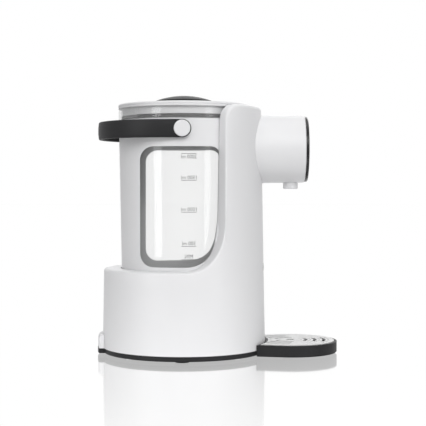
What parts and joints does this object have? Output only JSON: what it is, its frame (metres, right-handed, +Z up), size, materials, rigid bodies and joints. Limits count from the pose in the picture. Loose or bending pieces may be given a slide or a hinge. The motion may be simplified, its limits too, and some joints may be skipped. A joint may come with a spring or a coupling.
{
  "type": "formula dispenser",
  "caption": "Countertop warm-water dispenser for baby formula: round body, tall front tower with spout head, lift-out see-through tank with lid and handle, and a round drip tray.",
  "frame": {"origin": "on the floor, at the axis of the round body and tank", "axes": "+X to the front, where the spout and drip tray are; +Z up; the tank lifts out along +Z"},
  "size_m": [0.2625, 0.1782, 0.2818],
  "materials": {
    "white_body": "satin white moulded plastic",
    "dark_plastic": "matte charcoal",
    "dark_gloss": "glossy charcoal",
    "grid_white": "matte light grey",
    "clear_tank": "clear",
    "seal_rubber": "soft dark rubber",
    "foot_rubber": "soft dark rubber",
    "milky_hose": "milky silicone",
    "steel": "brushed",
    "board_green": "solder mask"
  },
  "bodies": {
    "base": {"main_housing": "white_body", "dock_well": "white_body", "dock_deck": "white_body", "base_plate": "dark_plastic", "rubber_feet": "foot_rubber", "plate_screws": "steel", "rear_boss": "white_body", "cord_gland": "dark_plastic", "sensor_lens": "dark_gloss", "water_coupler": "white_body", "coupler_seal": "seal_rubber", "pump_body": "dark_plastic", "pump_motor": "steel", "heater_tube": "steel", "heater_caps": "dark_plastic", "power_board": "board_green", "suction_hose": "milky_hose", "feed_hose": "milky_hose", "outlet_hose": "milky_hose", "riser_pipe": "steel", "head_shell": "white_body", "control_panel": "dark_gloss", "display_board": "board_green", "outlet_elbow": "white_body", "nozzle": "white_body"},
    "tank": {"tank_vessel": "clear_tank", "tank_sleeve": "white_body", "valve_seat": "white_body", "valve_spring": "steel", "pivot_pins": "steel", "pivot_caps": "white_body"},
    "valve": {"valve_plunger": "steel", "valve_seal": "seal_rubber"},
    "handle": {"handle_bail": "dark_plastic"},
    "lid": {"lid_cover": "white_body", "lid_plug": "white_body", "lid_seal": "seal_rubber", "lid_knob": "dark_plastic", "lid_screw": "steel"},
    "tray": {"drip_tray": "dark_plastic", "tray_feet": "foot_rubber"},
    "grid": {"drip_grid": "grid_white"}
  },
  "joints": [
    {"name": "tank_lift", "type": "slide", "parent": "base", "child": "tank", "axis": [0, 0, 1], "range_m": [0, 0.215]},
    {"name": "lid_lift", "type": "slide", "parent": "tank", "child": "lid", "axis": [0, 0, 1], "range_m": [0, 0.06]},
    {"name": "handle_swing", "type": "hinge", "parent": "tank", "child": "handle", "pos_m": [0, 0, 0.2427], "axis": [0, -1, 0], "range_deg": [-110, 0]},
    {"name": "valve_slide", "type": "slide", "parent": "tank", "child": "valve", "axis": [0, 0, 1], "range_m": [-0.003, 0], "deforming": ["valve_spring"]},
    {"name": "tray_pull", "type": "slide", "parent": "base", "child": "tray", "axis": [1, 0, 0], "range_m": [0, 0.06]},
    {"name": "grid_lift", "type": "slide", "parent": "tray", "child": "grid", "axis": [0, 0, 1], "range_m": [0, 0.03]}
  ],
  "couplings": [
    {"joint": "valve_slide", "follows": "tank_lift", "ratio": -0.013954}
  ]
}
